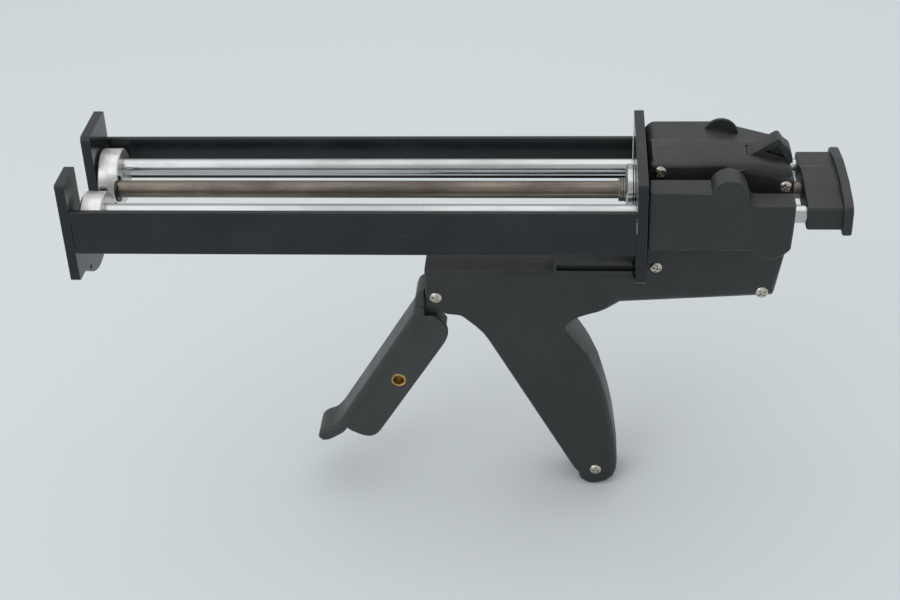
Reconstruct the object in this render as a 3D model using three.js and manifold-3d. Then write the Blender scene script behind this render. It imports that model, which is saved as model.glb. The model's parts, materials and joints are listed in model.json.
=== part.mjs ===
// Two-cartridge dispensing (caulking) gun.
// Frame: millimetres, +X toward the pull handle, -X toward the nozzle end, -Y the gun's
// left side, +Z up as the gun is held. Every station below is written from the front face
// of the front plate (x), the middle of the gun (y) and the axis of the three rods (z);
// the finished group is then shifted so that the middle of its underside is the origin.
import * as THREE from "three";
import { mergeVertices } from "three/addons/utils/BufferGeometryUtils.js";
import Module from "manifold-3d";

const wasm = await Module();
wasm.setup();

// ---------------------------------------------------------------- driving dimensions
const GAP = 0.3; // clearance between pieces that touch
const CARRIAGE_W = 92; // overall width of the carriage plates
const BAY_L = 313.5; // clear length between the two plates, one cartridge long
const PLATE_T = 5.6; // thickness of the front and rear plates
const PLATE_TOP = 27.5; // plate top above the rods
const PLATE_FOOT = -34.2; // underside of the plate's two feet
const BULGE_R = 30.2; // radius of the rounded belly under each plate
const BULGE_Z = -17.1; // height of the belly's centre
const NOTCH_Y = -6; // middle of the nozzle notch and of the belly
const NOTCH_W = 34; // width of the nozzle notch
const RAIL_T = 3.5; // thickness of the side rails
const RAIL_TOP = 10.5; // top edge of the rails
const RAIL_BOT = -16.4; // bottom edge of the rails
const ROD_R = 5; // all three rods are 10 mm bar
const DISC_R = 16.1; // plunger discs
const DISC_T = 12.6;
const DISC_DROP = -5.3; // the disc's centre hangs below its rod
const DISC_IN = 1; // and this much nearer the middle
const BOX_INSET = 3.7; // the rear housing's side boxes inside the carriage's width
const BODY_HALF = 16.6; // half-width of the spine, ridge and grip
const WALL = 2.6; // moulding wall
const HOUSING_L = 79; // length of the wide rear housing
const BARE_ROD = 7.5; // rod showing between the housing and the pull handle
const HANDLE_L = 19;
const HANDLE_EDGE = 6.8; // the pull handle's block past the outer rods' axes
const FLANGE_T = 5.4;
const PIVOT = [204.6, -63.2]; // trigger pivot (x, z)
const LINK_R = 9.6; // pivot to link pin
const TRIGGER_HALF = 12; // half-width of the trigger's front bar
const LEVER_HALF = 5.5; // half-width of the release lever
const NUT_R = 14.4; // carriage nut

const REAR_X = PLATE_T + BAY_L; // front face of the rear plate
const HOUSING_X = REAR_X + PLATE_T + GAP; // front face of the wide housing
const HANDLE_X = HOUSING_X + HOUSING_L + BARE_ROD; // front face of the pull handle
const HANDLE_END = HANDLE_X + HANDLE_L + FLANGE_T; // rear face of the pull handle
const ROD_Y = CARRIAGE_W / 2 - RAIL_T - 0.4 - DISC_R + DISC_IN; // outer rods from the middle, so the discs just clear the rails
const WIDE_HALF = CARRIAGE_W / 2 - BOX_INSET; // half-width of the rear housing's side boxes
const HANDLE_HALF = ROD_Y + HANDLE_EDGE; // half-width of the pull handle's block
const BUSH_R = ROD_R + 2.4; // guides of the outer rods
const THREAD_R = ROD_R + 1.9; // threaded centre bush
// The housing, its trigger and its drive are drawn with the housing's front face at this
// station, and are moved as one to where the carriage's length puts it.
const FACE_X = 325;
const HOUSING_REAR = FACE_X + HOUSING_L; // rear face of the housing

// ---------------------------------------------------------------- geometry helpers
function toSolid(geometry) {
  const g = geometry.clone();
  for (const name of Object.keys(g.attributes)) if (name !== "position") g.deleteAttribute(name);
  const m = mergeVertices(g, 1e-4);
  return new wasm.Manifold(
    new wasm.Mesh({
      numProp: 3,
      vertProperties: new Float32Array(m.attributes.position.array),
      triVerts: new Uint32Array(m.index.array),
    }),
  );
}
function toGeometry(solid) {
  const m = solid.getMesh();
  const g = new THREE.BufferGeometry();
  g.setAttribute("position", new THREE.BufferAttribute(new Float32Array(m.vertProperties), 3));
  g.setIndex(new THREE.BufferAttribute(new Uint32Array(m.triVerts), 1));
  const flat = g.toNonIndexed();
  flat.computeVertexNormals();
  return flat;
}
const join = (...s) => s.reduce((a, b) => a.add(b));
const cut = (a, ...s) => s.reduce((x, b) => x.subtract(b), a);

function extrude(points, depth, bevel, holes = [], segments = 2) {
  const shape = new THREE.Shape(points.map(([a, b]) => new THREE.Vector2(a, b)));
  for (const h of holes) shape.holes.push(new THREE.Path(h.map(([a, b]) => new THREE.Vector2(a, b))));
  const b = bevel || 0;
  const g = new THREE.ExtrudeGeometry(shape, {
    depth: depth - 2 * b,
    bevelEnabled: b > 0,
    bevelThickness: b,
    bevelSize: b,
    bevelOffset: -b,
    bevelSegments: segments,
    curveSegments: 12,
  });
  return g.translate(0, 0, b);
}
// An extrusion whose edges carry the bevel asked for, or the widest below it that the
// outline's tightest corner lets past.
function bevelled(points, depth, bevel, segments, round, steps, place) {
  for (let b = bevel; ; b *= 0.8) {
    const width = b < 0.15 ? 0 : b;
    const outline = round ? soften(points, round, steps, width * 1.8) : points;
    try {
      return toSolid(place(extrude(outline, depth, width, [], segments)));
    } catch (error) {
      if (width === 0) throw error;
    }
  }
}
// A side-view outline of (x, z) points, given thickness between y0 and y1.
function side(points, y0, y1, bevel = 0, segments = 2, round = 0, steps = 2) {
  return bevelled(points, y1 - y0, bevel, segments, round, steps, (g) => g.rotateX(Math.PI / 2).translate(0, y1, 0));
}
// A front-view outline of (y, z) points, given thickness between x0 and x1.
const YZX = new THREE.Matrix4().makeBasis(
  new THREE.Vector3(0, 1, 0),
  new THREE.Vector3(0, 0, 1),
  new THREE.Vector3(1, 0, 0),
);
function front(points, x0, x1, bevel = 0, round = 0, steps = 2) {
  return bevelled(points, x1 - x0, bevel, 2, round, steps, (g) => g.applyMatrix4(YZX).translate(x0, 0, 0));
}
function box(x0, x1, y0, y1, z0, z1) {
  return toSolid(
    new THREE.BoxGeometry(x1 - x0, y1 - y0, z1 - z0).translate((x0 + x1) / 2, (y0 + y1) / 2, (z0 + z1) / 2),
  );
}
// Cylinders along X and along Y.
function rodX(r, x0, x1, y = 0, z = 0, n = 24) {
  return toSolid(
    new THREE.CylinderGeometry(r, r, x1 - x0, n).rotateZ(Math.PI / 2).translate((x0 + x1) / 2, y, z),
  );
}
function rodY(r, y0, y1, x, z, n = 20) {
  return toSolid(new THREE.CylinderGeometry(r, r, y1 - y0, n).translate(x, (y0 + y1) / 2, z));
}
// A turned piece on an axis along X: profile of (radius, x) points, from the axis and back to it,
// or closed on itself.
function turnedX(profile, y = 0, z = 0, n = 28) {
  const g = new THREE.LatheGeometry(profile.map(([r, x]) => new THREE.Vector2(r, x)), n);
  g.rotateZ(-Math.PI / 2);
  const s = toSolid(g.translate(0, y, z));
  return s.volume() < 0 ? toSolid(flip(g)) : s;
}
function turnedY(profile, x = 0, z = 0, n = 24) {
  const g = new THREE.LatheGeometry(profile.map(([r, y]) => new THREE.Vector2(r, y)), n).translate(x, 0, z);
  const s = toSolid(g);
  return s.volume() < 0 ? toSolid(flip(g)) : s;
}
function flip(g) {
  const i = g.index.array;
  for (let k = 0; k < i.length; k += 3) [i[k + 1], i[k + 2]] = [i[k + 2], i[k + 1]];
  return g;
}
function arc(cx, cy, r, a0, a1, n) {
  const out = [];
  for (let i = 0; i <= n; i++) {
    const a = ((a0 + ((a1 - a0) * i) / n) * Math.PI) / 180;
    out.push([cx + r * Math.cos(a), cy + r * Math.sin(a)]);
  }
  return out;
}
// The points of a closed outline with its sharp corners cut back to short arcs. A corner
// whose arc would be tighter than `least` is left sharp, so that a bevelled edge can pass it.
function soften(points, r, n = 3, least = 0) {
  const out = [];
  const N = points.length;
  for (let i = 0; i < N; i++) {
    const p = points[i];
    const rr = p[2] !== undefined ? p[2] : r;
    const a = points[(i + N - 1) % N];
    const b = points[(i + 1) % N];
    const da = Math.hypot(a[0] - p[0], a[1] - p[1]);
    const db = Math.hypot(b[0] - p[0], b[1] - p[1]);
    const t = Math.min(rr, da * 0.45, db * 0.45);
    const cosine =
      ((a[0] - p[0]) * (b[0] - p[0]) + (a[1] - p[1]) * (b[1] - p[1])) / (da * db);
    const turn = Math.PI - Math.acos(Math.min(1, Math.max(-1, cosine)));
    if (t < 0.05 || t / Math.tan(turn / 2) < least || turn < 0.02) {
      out.push([p[0], p[1]]);
      continue;
    }
    const s = [p[0] + ((a[0] - p[0]) / da) * t, p[1] + ((a[1] - p[1]) / da) * t];
    const e = [p[0] + ((b[0] - p[0]) / db) * t, p[1] + ((b[1] - p[1]) / db) * t];
    for (let k = 0; k <= n; k++) {
      const u = k / n;
      out.push([
        (1 - u) * (1 - u) * s[0] + 2 * u * (1 - u) * p[0] + u * u * e[0],
        (1 - u) * (1 - u) * s[1] + 2 * u * (1 - u) * p[1] + u * u * e[1],
      ]);
    }
  }
  return out;
}

const gun = new THREE.Group();
function add(name, solid, color, roughness, metalness, shift = 0) {
  const mesh = new THREE.Mesh(
    toGeometry(solid).translate(shift, 0, 0),
    new THREE.MeshStandardMaterial({ color, roughness, metalness }),
  );
  mesh.name = name;
  gun.add(mesh);
  return mesh;
}
// A piece of the rear assembly.
const addRear = (name, solid, color, roughness, metalness) =>
  add(name, solid, color, roughness, metalness, HOUSING_X - FACE_X);
const PAINT = ["#2b2e31", 0.35, 0.2];
const PLASTIC = ["#303336", 0.55, 0.0];
const CHROME = ["#c9cbcc", 0.22, 1.0];
const ALU = ["#cfcdc9", 0.4, 1.0];
const STEEL = ["#8d8a84", 0.4, 1.0];
const OILY = ["#6f675c", 0.38, 0.9];
const NICKEL = ["#b7ad98", 0.3, 1.0];
const BRASS = ["#b8913f", 0.35, 1.0];

// ---------------------------------------------------------------- carriage
// Front plate: flat black plate with an open-topped nozzle notch off to the left of the
// middle, two square feet and a rounded belly below.
const H = CARRIAGE_W / 2;
const foot = Math.acos((BULGE_Z - PLATE_FOOT) / BULGE_R) * (180 / Math.PI); // belly meets the feet
const belly = arc(NOTCH_Y, BULGE_Z, BULGE_R, -90 - foot + 1, -90 + foot - 1, 16);
const nr = NOTCH_W / 2;
const plateOutline = (notched) => [
  [-H, PLATE_TOP - 1],
  [-H, PLATE_FOOT + 1],
  [-H + 1, PLATE_FOOT],
  ...belly,
  [H - 1, PLATE_FOOT],
  [H, PLATE_FOOT + 1],
  [H, PLATE_TOP - 1],
  [H - 1, PLATE_TOP],
  ...(notched
    ? [
        [NOTCH_Y + nr + 1.6, PLATE_TOP],
        [NOTCH_Y + nr, PLATE_TOP - 2.2],
        ...arc(NOTCH_Y, -9, nr, 0, -180, 16),
        [NOTCH_Y - nr, PLATE_TOP - 1],
        [NOTCH_Y - nr - 1, PLATE_TOP],
      ]
    : []),
  [-H + 1, PLATE_TOP],
];
add(
  "front_plate",
  cut(front(plateOutline(true), 0, PLATE_T), rodX(1.3, -1, PLATE_T + 1, NOTCH_Y - 18, -38, 16)),
  ...PAINT,
);
const rail = (s) =>
  front(
    soften(
      [
        [s * H, RAIL_BOT],
        [s * H, RAIL_TOP],
        [s * (H - RAIL_T), RAIL_TOP],
        [s * (H - RAIL_T), RAIL_BOT],
      ],
      0.5,
      1,
    ),
    PLATE_T + GAP,
    REAR_X - GAP,
  );
add("rail_left", rail(-1), ...PAINT);
add("rail_right", rail(1), ...PAINT);

// Rear plate: the same blank without the notch, bored for the three rods.
add(
  "rear_plate",
  cut(
    front(plateOutline(false), REAR_X, REAR_X + PLATE_T),
    rodX(BUSH_R + GAP, REAR_X - 1, REAR_X + PLATE_T + 1, -ROD_Y, 0),
    rodX(BUSH_R + GAP, REAR_X - 1, REAR_X + PLATE_T + 1, ROD_Y, 0),
    rodX(THREAD_R + 0.1 + GAP, REAR_X - 1, REAR_X + PLATE_T + 1, 0, 0),
  ),
  ...PAINT,
);
const tube = (ri, ro, x0, x1) => [
  [ri, x0],
  [ro - 0.4, x0],
  [ro, x0 + 0.4],
  [ro, x1],
  [ri, x1],
  [ri, x0],
];
for (const [name, s] of [["rod_bush_left", -1], ["rod_bush_right", 1]])
  add(name, turnedX(tube(ROD_R + 0.35, BUSH_R, REAR_X + 0.1, REAR_X + PLATE_T - 0.1), s * ROD_Y, 0, 24), "#3a3a38", 0.5, 0.1);

// Threaded centre bush that guides the drive rod, with the big chromed nut that draws the
// carriage back against the housing.
const BUSH_X = REAR_X - 9.4;
add(
  "centre_bush",
  turnedX([
    [ROD_R + 0.4, BUSH_X],
    [THREAD_R - 0.6, BUSH_X],
    [THREAD_R, BUSH_X + 0.6],
    [THREAD_R, HOUSING_X + 1.2],
    [THREAD_R + 3.5, HOUSING_X + 1.2],
    [THREAD_R + 3.5, HOUSING_X + 3.8],
    [ROD_R + 0.4, HOUSING_X + 3.8],
    [ROD_R + 0.4, BUSH_X],
  ]),
  ...STEEL,
);
add(
  "carriage_nut",
  turnedX(
    [
      [THREAD_R + GAP, REAR_X - 5.4],
      [NUT_R - 1, REAR_X - 5.4],
      [NUT_R, REAR_X - 4.4],
      [NUT_R, REAR_X - 1.6],
      [NUT_R - 0.8, REAR_X - 1.0],
      [NUT_R - 0.8, REAR_X - GAP],
      [THREAD_R + GAP, REAR_X - GAP],
      [THREAD_R + GAP, REAR_X - 5.4],
    ],
    0,
    0,
    36,
  ),
  ...CHROME,
);

// ---------------------------------------------------------------- rods, discs and pull handle
const rodFront = PLATE_T + 4;
const discX = { "-1": PLATE_T + 2.8, 1: PLATE_T + GAP }; // each disc is set on its thread by hand
const rodEnd = HANDLE_END - 5;
for (const [side_, s] of [["left", -1], ["right", 1]]) {
  const x0 = discX[s];
  const y = s * ROD_Y;
  const screwZ = -(ROD_R - 1) - GAP - 5.9; // its tip bears on the rod's turned-down end
  const yc = s * (ROD_Y - DISC_IN); // the disc's own centre
  const rod = turnedX([
    [0, x0 + 1.4],
    [ROD_R - 1.4, x0 + 1.4],
    [ROD_R - 1, x0 + 1.8],
    [ROD_R - 1, x0 + DISC_T - 2],
    [ROD_R, x0 + DISC_T - 2],
    [ROD_R, rodEnd],
    [2, rodEnd],
    [2, rodEnd - 9],
    [0, rodEnd - 9],
  ], y, 0, 24);
  add(`plunger_rod_${side_}`, rod, ...CHROME);
  const c = DISC_R;
  const disc = turnedX([
    [0, x0],
    [c - 1.2, x0],
    [c, x0 + 1.2],
    [c, x0 + DISC_T - 0.6],
    [c - 0.6, x0 + DISC_T],
    [0, x0 + DISC_T],
  ], yc, DISC_DROP, 44);
  // The set screw goes in through the rim from the gun's left and points at the rod's axis.
  const rise = Math.atan2(-DISC_DROP + 1.4, s * DISC_IN + c);
  const radial = (r, from, to, n) =>
    toSolid(
      new THREE.CylinderGeometry(r, r, to - from, n)
        .translate(0, (from + to) / 2, 0)
        .rotateX(Math.PI + rise)
        .translate(x0 + 3.4, y, 0),
    );
  const rim = Math.hypot(-DISC_DROP + 1.4, s * DISC_IN + c); // rod axis to the rim, along the screw
  add(
    `plunger_disc_${side_}`,
    cut(
      disc,
      rodX(ROD_R - 1 + GAP, x0 + 0.9, x0 + DISC_T, y, 0),
      rodX(ROD_R + GAP, x0 + DISC_T - 2 - GAP, x0 + DISC_T + 6, y, 0),
      rodX(1.75, x0 - 1, x0 + 6, y, 0, 12),
      radial(2.3 + GAP, ROD_R - 1, rim + 3, 18),
    ),
    ...ALU,
  );
  add(
    `disc_set_screw_${side_}`,
    cut(radial(2.3, ROD_R - 1 + GAP, rim - (s < 0 ? 1.3 : 0.2), 18), radial(1.25, rim - 2.4, rim + 3, 6)),
    ...ALU,
  );
}
const driveFront = PLATE_T + DISC_T + 1.7;
add(
  "drive_rod",
  cut(
    turnedX([
      [0, driveFront],
      [ROD_R - 0.8, driveFront],
      [ROD_R, driveFront + 0.8],
      [ROD_R, rodEnd],
      [2, rodEnd],
      [2, rodEnd - 9],
      [0, rodEnd - 9],
    ], 0, 0, 24),
    cut(rodX(ROD_R + 1, driveFront + 1.1, driveFront + 2.7), rodX(ROD_R - 0.9, driveFront + 1, driveFront + 3)),
  ),
  ...OILY,
);
// Open retaining clip in the groove at the drive rod's front end.
add(
  "drive_rod_clip",
  cut(
    rodX(ROD_R + 2.6, driveFront + 1.3, driveFront + 2.5),
    rodX(ROD_R - 0.55, driveFront + 1, driveFront + 3),
    box(driveFront + 1, driveFront + 3, -3.4, 3.4, 0, 9),
  ),
  "#37342f",
  0.45,
  0.9,
);

// Pull handle: a moulded bar with a faceted top and a wider, slightly bowed rear flange.
const barOutline = [
  [-HANDLE_HALF, -6.8],
  [-HANDLE_HALF, 6.2],
  [-HANDLE_HALF + 2.6, 7.6],
  [-12, 8.9],
  [-9, 10.2],
  [9, 10.2],
  [12, 8.9],
  [HANDLE_HALF - 2.6, 7.6],
  [HANDLE_HALF, 6.2],
  [HANDLE_HALF, -6.8],
];
const flangeOutline = [
  [-HANDLE_HALF - 3.2, -8.7, 2],
  [-HANDLE_HALF - 3.4, 7.6, 3.5],
  [-HANDLE_HALF + 2, 10.4, 3],
  [-12, 13.4],
  [12, 13.4],
  [HANDLE_HALF - 2, 10.4, 3],
  [HANDLE_HALF + 3.4, 7.6, 3.5],
  [HANDLE_HALF + 3.2, -8.7, 2],
];
let handle = join(
  front(barOutline, HANDLE_X, HANDLE_X + HANDLE_L + 1, 1.0, 1.9, 2),
  front(flangeOutline, HANDLE_X + HANDLE_L, HANDLE_END, 1.1, 2.2, 3),
);
for (const y of [-ROD_Y, 0, ROD_Y])
  handle = cut(
    handle,
    rodX(ROD_R + GAP, HANDLE_X - 1, rodEnd + GAP, y, 0),
    rodX(2.3, rodEnd - 1, HANDLE_END + 1, y, 0, 12),
    rodX(4.6, HANDLE_END - 3.2, HANDLE_END + 1, y, 0, 20),
  );
add("pull_handle", handle, ...PLASTIC);
for (const [name, y] of [["handle_screw_left", -ROD_Y], ["handle_screw_centre", 0], ["handle_screw_right", ROD_Y]])
  add(
    name,
    cut(
      turnedX([
        [0, rodEnd - 7],
        [1.7, rodEnd - 7],
        [1.7, HANDLE_END - 2.9],
        [4.2, HANDLE_END - 2.9],
        [4.2, HANDLE_END - 0.9],
        [3.6, HANDLE_END - 0.4],
        [0, HANDLE_END - 0.4],
      ], y, 0, 16),
      rodX(1.5, HANDLE_END - 2.2, HANDLE_END, y, 0, 6),
    ),
    ...STEEL,
  );

// ---------------------------------------------------------------- housing
// The rear plate's front face in this section's stations, and the slot the plate stands in.
const PLATE_X = FACE_X - GAP - PLATE_T;
const SLOT_X = PLATE_X - GAP;
// Side-view outline of the spine: fore-body, rear body, ridge and grip in one.
const spine = [
    [198.5, -45.2, 1.2],
    [198.5, -62.2, 1],
    [202.2, -69.3, 1.5],
    [209.6, -75.4, 2],
    [219, -76.4, 2],
    [231.9, -88.2, 6],
    [286.1, -189.6, 2],
    [288.4, -192, 1],
    [289.6, -197.2, 2],
    [294.9, -200.8, 3],
    [305.6, -199.6, 5],
    [312.2, -191.5, 5],
    [312.1, -183.3, 3],
    [309, -156.2, 8],
    [305.3, -138.5, 8],
    [299.9, -119, 8],
    [292.3, -103.8, 6],
    [281.2, -88, 3],
    [280.2, -83.2, 3],
    [285, -78.2, 4],
    [296.9, -73.6, 6],
    [313, -71, 6],
    [335, -69.4, 4],
    [397.3, -64, 4],
    [399.2, -58, 2],
    [403.6, -33, 2],
    [HOUSING_REAR, -14.4, 0.5],
    [HOUSING_REAR + 1.6, 2, 2],
    [HOUSING_REAR + 1.6, 14.9, 1.5],
    [391.8, 18.2, 2],
    [378.1, 20.8, 2],
    [372.5, 22.6, 2],
    [365.4, 24.6, 2],
    [FACE_X + 3, 24.9, 1],
    [FACE_X, 22, 1],
    [FACE_X, -47.2, 0.2],
  ];
// The grip's back is rounded to fit a palm; the rounding runs out where the grip meets the body.
const palmRound = side([
  [150, -240],
  [316, -240],
  [312.3, -191.5],
  [312.2, -183.3],
  [309.1, -156.2],
  [305.4, -138.5],
  [300.2, -119],
  [294.4, -105.6],
  [289.2, -95.6],
  [288.4, -88],
  [294, -80],
  [312, -68],
  [440, -60],
  [440, 90],
  [150, 90],
], -BODY_HALF - 0.02, BODY_HALF + 0.02, 7.5, 3);
const core = side(spine, -BODY_HALF, BODY_HALF, 1.8, 1, 1.5, 2).intersect(palmRound);
// Low crown along the top of the ridge.
const crown = side(
  [
    [FACE_X + 1.5, 10],
    [FACE_X + 3, 26.2],
    [364, 26.4],
    [386, 24.8],
    [401, 21.8],
    [404.4, 18.4],
    [404.4, 4],
  ],
  -15.4,
  15.4,
  4.6,
  2,
);
// Raised block on the fore-body just ahead of the rear plate.
const saddle = side(
  [
    [272.9, -50],
    [272.9, -36.6],
    [SLOT_X - 0.4, -38.2],
    [SLOT_X - 0.4, -50],
  ],
  -BODY_HALF + 1,
  BODY_HALF - 1,
  0.8,
  1,
);
// Side boxes that carry the outer rods.
const wingNear = side(
  [
    [FACE_X, -15.3, 0.5],
    [382.5, -15.1, 1.5],
    [387.8, -20.2, 2],
    [394.9, -20.8, 2],
    [400, -17.6, 2],
    [402.9, -14.2, 0.6],
    [403.7, -1.6, 2],
    [HOUSING_REAR, 13.2, 0],
    [380.5, 13.2, 3],
    [378, 21.2, 1],
    [FACE_X + 1.5, 21.2, 0.8],
    [FACE_X, 19.5, 0.8],
  ],
  -WIDE_HALF,
  -BODY_HALF + 5,
  1.2,
  1,
  1,
  2,
);
const wingFar = side(
  [
    [FACE_X, -15.3, 0.5],
    [382.5, -15.1, 1.5],
    [387.8, -20.2, 2],
    [394.9, -20.8, 2],
    [400, -17.6, 2],
    [402.9, -14.2, 0.6],
    [403.7, -1.6, 2],
    [HOUSING_REAR, 11.8, 2],
    [396.4, 14.2, 4],
    [377, 19.4, 4],
    [366, 22.4, 3],
    [FACE_X + 4, 22.4, 2],
    [FACE_X, 18.6, 2],
  ],
  BODY_HALF - 5,
  WIDE_HALF,
  1.6,
  1,
  1,
  2,
);
const BARREL = [368.2, 18.6];
const barrelNear = rodY(10, -WIDE_HALF + 0.1, -27.6, BARREL[0], BARREL[1], 40);
const barrelFar = turnedY([
  [0, 31],
  [9.4, 31],
  [10, 31.6],
  [10, 32.6],
  [9.2, 34],
  [7, 36.6],
  [3.8, 38],
  [0, 38.4],
], BARREL[0], BARREL[1], 28);
const groove = join(
  box(FACE_X - 1, 377, -27.4, -BODY_HALF, 8.2, 40),
  box(376, HOUSING_REAR + 2, -28, -BODY_HALF, 6.9, 40),
);
// The block's top overhangs a shadow groove along each side.
const undercut = (s) => box(274.8, SLOT_X + 1, s < 0 ? -17 : 12.6, s < 0 ? -12.6 : 17, -44.9, -40.6);
let shell = cut(
  join(core, crown, cut(saddle, undercut(-1), undercut(1))),
  box(SLOT_X, FACE_X, -30, 30, -49.5, 60),
);
let nearShell = join(shell, join(cut(wingNear, groove), barrelNear));
let farShell = join(shell, wingFar, barrelFar);

// Room inside: a long channel for the drawbar, the drive and brake chambers round the drive
// rod, a hollow grip, and a tunnel for each outer rod.
const inner = join(
  side([
    [190, -80],
    [190, -48.4],
    [212, -48.4],
    [PLATE_X - 4, -49.8],
    [PLATE_X + 14, -49.8],
    [PLATE_X + 14, -61],
    [240, -63],
    [226, -70],
    [216, -84],
  ], -7.2, 7.2),
  box(FACE_X + 1, 399.5, -13, 13, -16, 14),
  box(FACE_X + 3, 366, -11.5, 11.5, -61, 22),
  side([
    [372, -14],
    [396, -14],
    [396, -58],
    [376, -60],
  ], -13, 13),
  rodX(THREAD_R + 0.4, FACE_X - 5, FACE_X + 3),
  rodX(ROD_R + 0.7, 398, HOUSING_REAR + 2),
);
const gripRoom = side(soften([
  [236, -72],
  [246, -84],
  [268, -84],
  [274, -96],
  [292, -124],
  [302, -168],
  [303, -180],
  [290, -181],
  [243, -98],
], 3, 1), -13.2, 13.2);
const leverSlot = join(
  box(380.5, HOUSING_REAR + 2, -LEVER_HALF - 0.6, LEVER_HALF + 0.6, 10, 50),
  side([
    [377.5, 30],
    [383, 18],
    [390, 12],
    [390, 40],
  ], -LEVER_HALF - 0.6, LEVER_HALF + 0.6),
);
const tunnels = (s) =>
  join(
    rodX(ROD_R + 0.8, FACE_X - 2, HOUSING_REAR + 2, s * ROD_Y, 0, 20),
    // cored out behind the rod guides so the walls stay even
    s < 0
      ? box(FACE_X + 5, 398, -WIDE_HALF + WALL, -BODY_HALF - 1.6, -12.4, 4)
      : box(FACE_X + 5, 398, BODY_HALF + 1.6, WIDE_HALF - WALL, -12.4, 9),
  );

// Screws: [name, x, z, y of the head's seat]
const SCREWS = [
  ["trigger_pivot_screw", PIVOT[0], PIVOT[1], -BODY_HALF + 1.1],
  ["housing_screw_lower_front", 331.6, -41.6, -BODY_HALF + 1.1],
  ["housing_screw_lower_rear", 392.4, -58.0, -BODY_HALF + 1.1],
  ["housing_screw_grip", 298.9, -189, -BODY_HALF + 1.1],
  ["housing_screw_ridge_front", 332.0, 20.2, -BODY_HALF + 0.6],
  ["housing_screw_ridge_rear", 400.8, 11.2, -BODY_HALF + 0.6],
];
const posts = [];
const bores = { near: [], far: [] };
for (const [name, x, z, y] of SCREWS) {
  if (name !== "trigger_pivot_screw") posts.push(rodY(4.2, -BODY_HALF + 2, BODY_HALF - 2, x, z, 14));
  bores.near.push(rodY(1.95, -20, 1, x, z, 12), rodY(3.9, z > 0 ? -27.3 : -60, y, x, z, 20));
  bores.far.push(rodY(1.95, -1, 11, x, z, 12));
}
// Bosses that carry the trigger pivot, one each side of the trigger's hub.
posts.push(rodY(5.2, -BODY_HALF + 2, -7.2, ...PIVOT, 16), rodY(5.2, 7.2, BODY_HALF - 2, ...PIVOT, 16));
// Ribs: the spring wall ahead of the brake plate, and the seat the plate's foot leans on.
const ribs = cut(
  join(box(366.6, 369.4, -14, 14, -16, 16), box(386.5, 389.2, -14, 14, -16, -9.8), box(358, 366.6, -14, 14, -20, -17)),
  rodX(ROD_R + 0.8, 360, 372),
);
bores.near.push(rodY(1.5 + GAP, -12.5, 1, 392.6, 15.95, 16));
bores.far.push(rodY(1.5 + GAP, -1, 12.5, 392.6, 15.95, 16));
const keepFar = box(150, 450, 0.15, 60, -260, 60);
const keepNear = box(150, 450, -60, -0.15, -260, 60);
const half = (s, keep, which) =>
  cut(join(cut(s, inner, gripRoom), ...posts, ribs), leverSlot, box(190, 216, -7.2, 7.2, -90, -48.4), ...which).intersect(keep);
const nearHalf = cut(half(nearShell, keepNear, bores.near), tunnels(-1));
const farHalf = cut(half(farShell, keepFar, bores.far), tunnels(1));
addRear("housing_left", nearHalf, ...PLASTIC);
addRear("housing_right", farHalf, ...PLASTIC);

// Recessed-cross pan-head screws, entering from the left.
for (const [name, x, z, y] of SCREWS) {
  const pan = turnedY([
    [0, y - GAP - 2.0],
    [1.6, y - GAP - 1.95],
    [2.8, y - GAP - 1.5],
    [3.5, y - GAP - 0.7],
    [3.5, y - GAP],
    [1.6, y - GAP],
    [1.6, 10],
    [0, 10.6],
  ], x, z, 16);
  const cross = join(
    box(x - 1.7, x + 1.7, y - 4, y - GAP - 0.9, z - 0.4, z + 0.4),
    box(x - 0.4, x + 0.4, y - 4, y - GAP - 0.9, z - 1.7, z + 1.7),
  );
  addRear(name, cut(pan, cross), ...NICKEL);
}

// ---------------------------------------------------------------- trigger and linkage
const LINK = [PIVOT[0], PIVOT[1] + LINK_R];
const barOutlineXZ = [
  [193.4, -72.5, 3],
  [190.2, -78.5, 4],
  [180.3, -94.2, 4],
  [141.0, -157.0, 4],
  [136.2, -162.4, 3],
  [131.0, -163.8, 3],
  [127.0, -167.2, 3],
  [126.4, -171.0, 2],
  [129.0, -173.4, 2],
  [133.0, -173.2, 2],
  [136.6, -171.0, 3],
  [142.6, -167.3, 3],
  [145.4, -163.6, 3],
  [152.2, -150.9, 4],
  [178.9, -112.9, 6],
  [193.6, -89.6, 4],
  [197.6, -79, 3],
  [197.4, -73.4, 2],
];
// The bar narrows to a neck in front of the fore-body.
const neck = [
  [197.6, -61.4, 1],
  [194.6, -62.2, 2],
  [192.0, -66, 2],
  [191.0, -72, 2],
  [189.6, -80, 2],
  [193, -88, 1],
  [197.2, -84, 1],
];
const blade = [
    [144.4, -163.1, 1],
    [146.8, -165.4, 1],
    [154, -169.2, 3],
    [160, -170.2, 3],
    [164.5, -167, 3],
    [208.4, -98.5, 4],
    [210.6, -93, 3],
    [209.8, -87.2, 3],
    [204.9, -81.4, 3],
    [200.9, -78.8, 1],
    [195, -79.5, 1],
    [190, -88, 1],
    [150.9, -148, 3],
    [141, -163, 1],
  ];
const channel = side(
  soften([
    [158.5, -158.5],
    [152.5, -160.5],
    [157, -149],
    [183.5, -110],
    [198.5, -87],
    [202, -84.2],
    [215, -90],
    [215, -100],
    [172, -168],
  ], 1.5, 2),
  -7.6,
  7.6,
);
let trigger = join(
  side(barOutlineXZ, -TRIGGER_HALF, TRIGGER_HALF, 3.2, 3, 2, 2),
  side(neck, -TRIGGER_HALF + 1.5, TRIGGER_HALF - 3, 1, 1, 1, 1),
  cut(
    side(blade, -TRIGGER_HALF + 1, TRIGGER_HALF - 1, 0.7, 1, 2, 2),
    // the right-hand blade stops short of the fore-body
    side([
      [186, -96],
      [204, -104],
      [216, -112],
      [216, -70],
      [186, -70],
    ], 0, 20),
  ),
);
trigger = cut(trigger, channel);
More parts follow.
